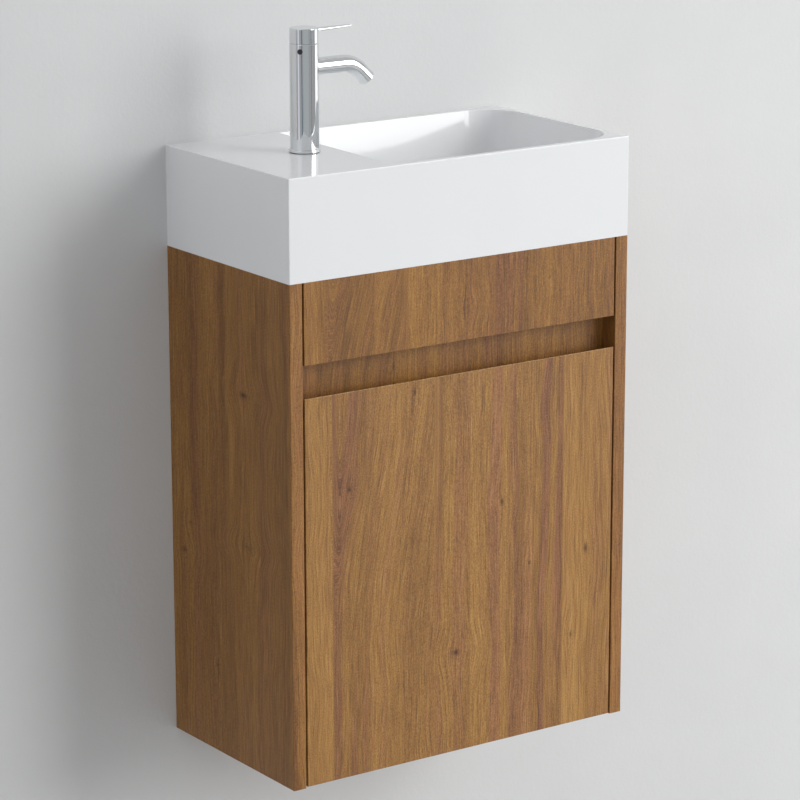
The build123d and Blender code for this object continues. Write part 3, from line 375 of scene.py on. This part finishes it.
sideWood = {
    "across": "y", "along": "z", "thick": "x", "span": (-0.23, 0.01), "lift": 0.0,
    "tint": (0.85, 0.81, 0.73, 1.0),
    "staves": [(-0.230, -0.10, 0.4), (-0.165, 0.10, 0.5), (-0.103, -0.20, 0.8), (-0.092, 0.15, 0.3),
               (-0.054, 0.0, 0.6), (-0.020, 0.15, 0.2)],
    "knots": [(-0.137, 0.377, 0.0095, 0.42, 0.95), (-0.023, 0.195, 0.0080, 0.5, 0.6),
              (-0.140, 0.226, 0.0100, 0.3, 0.45), (-0.035, 0.226, 0.0056, 0.6, 0.5),
              (-0.082, 0.090, 0.0034, 0.8, 0.6)],
    "frontEdge": {"limit": -0.21935, "shift": 0.37, "stave": 0.61, "tone": 0.15, "redness": 0.35,
                  "tint": (1.05, 1.02, 0.96, 1.0), "tickScales": (95.0, 1.0, 520.0), "tickSlope": -0.35,
                  "tickBand": (0.64, 0.74), "tickDepth": 0.5},
}
flatWood = {
    "across": "y", "along": "x", "thick": "z", "span": (-0.21, 0.01), "lift": 0.0,
    "tint": (0.92, 0.90, 0.86, 1.0),
    "staves": [(-0.210, 0.1, 0.2), (-0.150, -0.1, 0.6), (-0.108, 0.2, 0.3), (-0.062, -0.2, 0.7),
               (-0.025, 0.1, 0.3)],
}
dress(makeWood("doorVeneer", doorWood), "door_panel")
dress(makeWood("fasciaVeneer", fasciaWood), "fascia_panel", "finger_rail")
dress(makeWood("sideVeneer", sideWood), "side_panel_left", "side_panel_right")
dress(makeWood("boardVeneer", flatWood), "bottom_panel", "shelf")
print("veneers done")


# Board rails behind the carcass: pressed chips under a thin clear coat

chipBoard = {"dark": (0.33, 0.23, 0.13), "light": (0.46, 0.34, 0.21), "toneStops": (0.15, 0.75),
             "chip": 900.0, "squash": (0.35, 1.0, 1.0), "chipShare": 0.4, "grain": 1500.0, "grainShare": 0.6,
             "roughness": 0.62, "bump": 0.25, "bumpHeight": 0.0002}


def makeChipBoard(settings):
    # colour from the cells of a stretched Voronoi pattern, with fine noise on top
    material, tree, shader, place = newMaterial("railBoard")
    squashed = addNode(tree, "ShaderNodeMapping", {"Vector": place, "Scale": settings["squash"]}).outputs[0]
    cells = addNode(tree, "ShaderNodeTexVoronoi", {"Vector": squashed, "Scale": settings["chip"]})
    shade = addNode(tree, "ShaderNodeSeparateColor", {0: cells.outputs["Color"]}).outputs[0]
    fine = noise(tree, place, scale=settings["grain"], detail=3.0)
    mixed = calc(tree, "MULTIPLY_ADD", fine, settings["grainShare"],
                 calc(tree, "MULTIPLY", shade, settings["chipShare"]))
    colour = ramp(tree, mixed, list(zip(settings["toneStops"], (settings["dark"], settings["light"]))))
    tree.links.new(colour, shader.inputs["Base Color"])
    shader.inputs["Roughness"].default_value = settings["roughness"]
    setBump(tree, shader, mixed, settings["bump"], settings["bumpHeight"])
    return material


dress(makeChipBoard(chipBoard), "hanging_rail", "lower_back_rail")


# Glazed ceramic: white body under a clear glaze that is not quite flat

glaze = {"shade": (0.832, 0.838, 0.842), "white": (0.845, 0.850, 0.852), "toneStops": (0.25, 0.60),
         "drift": 9.0, "specks": 1400.0, "speckBand": (0.70, 0.78), "speckDepth": 0.35,
         "roughness": 0.07, "roughnessDrift": 0.04, "refraction": 1.52,
         "wave": 14.0, "bump": 0.5, "waveHeight": 0.00003}


def makeGlaze(settings):
    # the colour drifts a little between shade and white, less a few specks, and long low waves in the
    # glaze bend the reflections
    material, tree, shader, place = newMaterial("glazedCeramic")
    drift = noise(tree, place, scale=settings["drift"], detail=3.0)
    specks = band(tree, noise(tree, place, scale=settings["specks"], detail=1.0), *settings["speckBand"])
    mixed = calc(tree, "MULTIPLY_ADD", specks, -settings["speckDepth"], drift)
    colour = ramp(tree, mixed, list(zip(settings["toneStops"], (settings["shade"], settings["white"]))))
    tree.links.new(colour, shader.inputs["Base Color"])
    rough = calc(tree, "MULTIPLY_ADD", drift, settings["roughnessDrift"], settings["roughness"])
    tree.links.new(rough, shader.inputs["Roughness"])
    shader.inputs["IOR"].default_value = settings["refraction"]
    waves = noise(tree, place, scale=settings["wave"], detail=1.0)
    setBump(tree, shader, waves, settings["bump"], settings["waveHeight"])
    return material


dress(makeGlaze(glaze), "basin")
print("ceramic done")


# Metals and small parts share one surface group

handled = {"smudgeScale": 0.10, "smudgeShare": 0.7, "wipeShare": 0.3, "lineScales": (0.05, 0.05, 2.5),
           "wornColour": 0.90, "wornGain": 2.5, "toneStops": (0.2, 0.8), "leastRoughness": 0.02, "bump": 0.4}


def makeHandledGroup(settings):
    # Rub = (shares of smudges and wiping marks - 0.5) * Amount; Lines = marks along one direction * Amount
    group, given, made = newGroup(
        "handledSurface",
        [("Vector", "NodeSocketVector"), ("Fineness", "NodeSocketFloat"), ("Amount", "NodeSocketFloat")],
        [("Rub", "NodeSocketFloat"), ("Lines", "NodeSocketFloat")])
    scaled = addNode(group, "ShaderNodeVectorMath", {0: given["Vector"], 3: given["Fineness"]},
                     operation="SCALE").outputs[0]
    smudge = noise(group, scaled, scale=settings["smudgeScale"], detail=3.0, roughness=0.6)
    wipe = noise(group, scaled, scale=1.0, detail=2.0)
    parts = addNode(group, "ShaderNodeSeparateXYZ", {0: scaled}).outputs
    lines = noise(group, stretched(group, parts[0], parts[1], parts[2], settings["lineScales"]), detail=2.0)
    marks = calc(group, "MULTIPLY_ADD", smudge, settings["smudgeShare"],
                 calc(group, "MULTIPLY", wipe, settings["wipeShare"]))
    rub = calc(group, "MULTIPLY", calc(group, "SUBTRACT", marks, 0.5), given["Amount"])
    group.links.new(rub, made["Rub"])
    group.links.new(calc(group, "MULTIPLY", lines, given["Amount"]), made["Lines"])
    return group


handledGroup = makeHandledGroup(handled)

finishes = {
    "polishedChrome": {"colour": (0.800, 0.815, 0.825), "metal": 1.0, "rough": 0.055,
                       "fine": 400.0, "amount": 0.10, "depth": 0.000004},
    "chromedTrap": {"colour": (0.76, 0.77, 0.78), "metal": 1.0, "rough": 0.12,
                    "fine": 300.0, "amount": 0.16, "depth": 0.00001},
    "nickelSteel": {"colour": (0.62, 0.60, 0.56), "metal": 1.0, "rough": 0.26,
                    "fine": 900.0, "amount": 0.20, "depth": 0.00002},
    "zincScrew": {"colour": (0.64, 0.65, 0.68), "metal": 1.0, "rough": 0.34,
                  "fine": 1500.0, "amount": 0.30, "depth": 0.00002},
    "brass": {"colour": (0.72, 0.52, 0.25), "metal": 1.0, "rough": 0.24,
              "fine": 800.0, "amount": 0.20, "depth": 0.00002},
    "blackRubber": {"colour": (0.022, 0.022, 0.023), "metal": 0.0, "rough": 0.66,
                    "fine": 1200.0, "amount": 0.30, "depth": 0.00004},
    "whitePlastic": {"colour": (0.72, 0.72, 0.70), "metal": 0.0, "rough": 0.36,
                     "fine": 1100.0, "amount": 0.20, "depth": 0.00003},
    "aeratorPlastic": {"colour": (0.34, 0.35, 0.36), "metal": 0.0, "rough": 0.45,
                       "fine": 1600.0, "amount": 0.20, "depth": 0.00003},
    # the near-black of the index plug on the tap's collar stands in for a dark reflection in the chrome: a
    # painted reflection
    "darkPlugPaintedReflection": {"colour": (0.030, 0.032, 0.036), "metal": 0.0, "rough": 0.30,
                     "fine": 1600.0, "amount": 0.20, "depth": 0.00001},
    "ferriteMagnet": {"colour": (0.075, 0.073, 0.072), "metal": 0.25, "rough": 0.48,
                      "fine": 1500.0, "amount": 0.35, "depth": 0.00004},
    "clearBumper": {"colour": (0.86, 0.88, 0.88), "metal": 0.0, "rough": 0.16,
                    "fine": 900.0, "amount": 0.10, "depth": 0.00002, "transmission": 0.85, "refraction": 1.45},
}


def makeFinish(name, settings):
    # one plain finish whose roughness and surface carry wiping marks
    material, tree, shader, place = newMaterial(name)
    marks = fillGroup(tree, handledGroup, {"Vector": place, "Fineness": settings["fine"],
                                           "Amount": settings["amount"]})
    wearAndHighlight = tuple(part * handled["wornColour"] for part in settings["colour"])
    cleanness = calc(tree, "MULTIPLY_ADD", marks.outputs["Rub"], handled["wornGain"], 0.5, clamp=True)
    colour = ramp(tree, cleanness, list(zip(handled["toneStops"], (wearAndHighlight, settings["colour"]))))
    tree.links.new(colour, shader.inputs["Base Color"])
    rough = calc(tree, "ADD", marks.outputs["Rub"], settings["rough"])
    tree.links.new(calc(tree, "MAXIMUM", rough, handled["leastRoughness"]), shader.inputs["Roughness"])
    shader.inputs["Metallic"].default_value = settings["metal"]
    if "transmission" in settings:
        shader.inputs["Transmission Weight"].default_value = settings["transmission"]
        shader.inputs["IOR"].default_value = settings["refraction"]
    setBump(tree, shader, marks.outputs["Lines"], handled["bump"], settings["depth"])
    return material


materialsBySlot = {
    "chrome": "polishedChrome", "chromed_trap": "chromedTrap", "nickel_steel": "nickelSteel",
    "zinc_screws": "zincScrew", "brass": "brass", "rubber": "blackRubber", "white_plastic": "whitePlastic",
    "clear_bumper": "clearBumper", "aerator_plastic": "aeratorPlastic", "index_plastic": "darkPlugPaintedReflection",
    "magnet": "ferriteMagnet",
}
surfaces = {name: makeFinish(name, settings) for name, settings in finishes.items()}
for part in frame["record"]["subparts"]:
    if part["material_slot"] in materialsBySlot:
        dress(surfaces[materialsBySlot[part["material_slot"]]], part["node"])
print("metals and small parts done")


# Studio: a pale wall that is open from behind, a pale floor and soft light

studio = {
    "wallColour": (0.70, 0.70, 0.695), "wallHalfWidth": 5.0, "wallTop": 4.0,
    "wallGap": 0.0006,  # keeps the wall just clear of the unit's back
    "floorColour": (0.62, 0.62, 0.61), "floorHalfWidth": 9.0, "floorHeight": -0.42,
    "open": {"halfWidth": 0.1995, "middle": 0.30, "halfHeight": 0.2995},  # the unit's outline on the wall
    "backdrop": (0.74, 0.745, 0.75),
    "bands": [  # the room's colour around the unit: 0.5 is straight in front, less is to the left
        (0.00, (0.56, 0.565, 0.575)), (0.20, (0.94, 0.94, 0.98)), (0.30, (0.88, 0.88, 0.93)),
        (0.37, (0.50, 0.51, 0.53)), (0.50, (0.48, 0.49, 0.50)), (0.60, (0.52, 0.53, 0.54)),
        (0.75, (0.56, 0.565, 0.575)), (1.00, (0.56, 0.565, 0.575))],
    "liftBand": (-0.35, 0.75), "liftLow": 0.80, "liftHigh": 0.98,
}
plaster = {"patch": 5.0, "patchStops": (0.3, 0.7), "patchShade": 0.96, "roughness": 0.85,
           "grain": 160.0, "bump": 0.25, "bumpHeight": 0.0012}


def makeSheet(name, corners, material):
    # one flat four-cornered sheet
    mesh = bpy.data.meshes.new(name)
    mesh.from_pydata(corners, [], [(0, 1, 2, 3)])
    sheet = bpy.data.objects.new(name, mesh)
    mesh.materials.append(material)
    bpy.context.collection.objects.link(sheet)
    return sheet


def makePlaster(name, colour, seeThrough):
    # fine plaster; from behind it lets everything through, and behind the unit it lets light through
    material, tree, shader, place = newMaterial(name)
    patches = noise(tree, place, scale=plaster["patch"], detail=4.0, roughness=0.6)
    shaded = tuple(part * plaster["patchShade"] for part in colour)
    tree.links.new(ramp(tree, patches, list(zip(plaster["patchStops"], (shaded, colour)))),
                   shader.inputs["Base Color"])
    shader.inputs["Roughness"].default_value = plaster["roughness"]
    surface = noise(tree, place, scale=plaster["grain"], detail=4.0, roughness=0.7)
    setBump(tree, shader, surface, plaster["bump"], plaster["bumpHeight"])
    if seeThrough:
        axes = addNode(tree, "ShaderNodeSeparateXYZ", {0: place}).outputs
        limits = studio["open"]
        fromMiddle = calc(tree, "SUBTRACT", axes[2], limits["middle"])
        sideways = calc(tree, "LESS_THAN", calc(tree, "ABSOLUTE", axes[0]), limits["halfWidth"])
        upright = calc(tree, "LESS_THAN", calc(tree, "ABSOLUTE", fromMiddle), limits["halfHeight"])
        behind = calc(tree, "MULTIPLY", sideways, upright)
        seen = tree.nodes.new("ShaderNodeLightPath").outputs["Is Camera Ray"]
        lets = calc(tree, "MULTIPLY", behind, calc(tree, "SUBTRACT", 1.0, seen))
        back = tree.nodes.new("ShaderNodeNewGeometry").outputs["Backfacing"]
        clear = calc(tree, "MAXIMUM", lets, back)
        mixed = addNode(tree, "ShaderNodeMixShader", {
            0: clear, 1: shader.outputs[0], 2: tree.nodes.new("ShaderNodeBsdfTransparent").outputs[0]})
        tree.links.new(mixed.outputs[0], tree.nodes["Material Output"].inputs["Surface"])
    return material


wallY, floorZ = studio["wallGap"], studio["floorHeight"]
wallX, wallZ, floorX = studio["wallHalfWidth"], studio["wallTop"], studio["floorHalfWidth"]
makeSheet("studioWall",
          [(-wallX, wallY, floorZ), (wallX, wallY, floorZ), (wallX, wallY, wallZ), (-wallX, wallY, wallZ)],
          makePlaster("wallPlaster", studio["wallColour"], True))
makeSheet("studioFloor",
          [(-floorX, -floorX, floorZ), (floorX, -floorX, floorZ), (floorX, floorX, floorZ),
           (-floorX, floorX, floorZ)],
          makePlaster("floorPlaster", studio["floorColour"], False))


def makeWorld(settings):
    # plain backdrop to the camera; to everything else a soft room with a few upright light and dark bands
    world = bpy.data.worlds.new("studioRoom")
    bpy.context.scene.world = world
    world.use_nodes = True
    tree = world.node_tree
    background = tree.nodes["Background"]
    direction = addNode(tree, "ShaderNodeSeparateXYZ", {
        0: tree.nodes.new("ShaderNodeTexCoord").outputs["Generated"]}).outputs
    turn = calc(tree, "ARCTAN2", direction[0], calc(tree, "MULTIPLY", direction[1], -1.0))
    around = calc(tree, "MULTIPLY_ADD", turn, 1 / (2 * math.pi), 0.5)
    bands = ramp(tree, around, settings["bands"], "EASE")
    height = band(tree, direction[2], *settings["liftBand"])
    lift = ramp(tree, height, [(0.0, (settings["liftLow"],) * 3), (1.0, (settings["liftHigh"],) * 3)])
    room = mixColours(tree, 1.0, bands, lift, "MULTIPLY")
    seen = tree.nodes.new("ShaderNodeLightPath").outputs["Is Camera Ray"]
    colour = mixColours(tree, seen, room, (*settings["backdrop"], 1.0))
    tree.links.new(colour, background.inputs["Color"])
    background.inputs["Strength"].default_value = 1.0


makeWorld(studio)


# Lights: middle, aimed point, width and height in metres, power in watts, full beam angle in degrees, colour
lights = {
    "keyLight": {"place": (2.64, -3.34, 1.60), "target": (0.0, -0.1, 0.35), "size": (2.4, 3.0),
                 "power": 48.8, "spread": 110.0, "colour": (0.99, 0.995, 1.0)},
    "rearLight": {"place": (0.6, 2.2, 1.2), "target": (0.0, 0.0, 0.3), "size": (1.6, 1.6),
                  "power": 16.0, "spread": 180.0, "colour": (1.0, 1.0, 1.0)},
}

# Upright glowing cards for the reflections in the chrome: azimuth in degrees from the front, distance, width,
# foot and top in metres, colour
cards = {
    "lavenderCard": {"azimuth": -76, "distance": 4.2, "width": 0.9, "low": -0.4, "high": 1.2,
                     "colour": (0.72, 0.72, 0.79)},
    "slateCard": {"azimuth": -50, "distance": 4.4, "width": 0.42, "low": -0.4, "high": 1.2,
                  "colour": (0.09, 0.16, 0.23)},
    "softCard": {"azimuth": -18, "distance": 4.4, "width": 3.2, "low": -0.4, "high": 1.2,
                 "colour": (0.43, 0.46, 0.47)},
    "greyCard": {"azimuth": 24, "distance": 4.0, "width": 0.5, "low": -0.4, "high": 0.2,
                 "colour": (0.24, 0.27, 0.30)},
    "brightCard": {"azimuth": 75, "distance": 2.6, "width": 1.4, "low": -0.4, "high": 1.3,
                   "colour": (1.4, 1.4, 1.42)},
}


def addLight(name, settings):
    # a soft rectangular light, turned to its target, that the camera doesn't see
    data = bpy.data.lights.new(name, "AREA")
    data.shape = "RECTANGLE"
    data.size, data.size_y = settings["size"]
    data.energy = settings["power"]
    data.spread = math.radians(settings["spread"])
    data.color = settings["colour"]
    light = bpy.data.objects.new(name, data)
    light.location = settings["place"]
    aim = Vector(settings["target"]) - Vector(settings["place"])
    light.rotation_euler = aim.to_track_quat("-Z", "Y").to_euler()
    light.visible_camera = False
    bpy.context.collection.objects.link(light)


def addCard(name, settings):
    # middle = distance * (sin azimuth, -cos azimuth), with half the width to each side along the tangent
    turn = math.radians(settings["azimuth"])
    middle = Vector((math.sin(turn), -math.cos(turn), 0)) * settings["distance"]
    aside = Vector((math.cos(turn), math.sin(turn), 0)) * (settings["width"] / 2)
    foot, top = Vector((0, 0, settings["low"])), Vector((0, 0, settings["high"]))
    material, _, shader, _ = newMaterial(name)
    shader.inputs["Base Color"].default_value = (0.0, 0.0, 0.0, 1.0)
    shader.inputs["Specular IOR Level"].default_value = 0.0
    shader.inputs["Emission Color"].default_value = (*settings["colour"], 1.0)
    shader.inputs["Emission Strength"].default_value = 1.0
    corners = [middle - aside + foot, middle + aside + foot, middle + aside + top, middle - aside + top]
    makeSheet(name, corners, material).visible_camera = False


for lightName, lightSettings in lights.items():
    addLight(lightName, lightSettings)
for cardName, cardSettings in cards.items():
    addCard(cardName, cardSettings)


# Camera at the photograph's place

camera = {
    "place": (-1.854922, -2.791816, 1.176578),
    "right": (0.822080, -0.569370, -0.001643),
    "up": (0.143237, 0.204017, 0.968432),
    "forward": (0.551060, 0.796364, -0.249273),
    "lens": 151.713, "sensor": 36.0,  # millimetres
    "clip": (0.05, 60.0),
}
cameraData = bpy.data.cameras.new("photoCamera")
cameraData.sensor_width = camera["sensor"]
cameraData.lens = camera["lens"]
cameraData.clip_start, cameraData.clip_end = camera["clip"]
cameraObject = bpy.data.objects.new("photoCamera", cameraData)
bpy.context.collection.objects.link(cameraObject)
backward = [-part for part in camera["forward"]]
columns = np.array([camera["right"], camera["up"], backward, camera["place"]]).T
cameraObject.matrix_world = Matrix([*columns.tolist(), [0, 0, 0, 1]])
bpy.context.scene.camera = cameraObject
bpy.context.scene.view_settings.view_transform = "Standard"
print("studio and camera done")
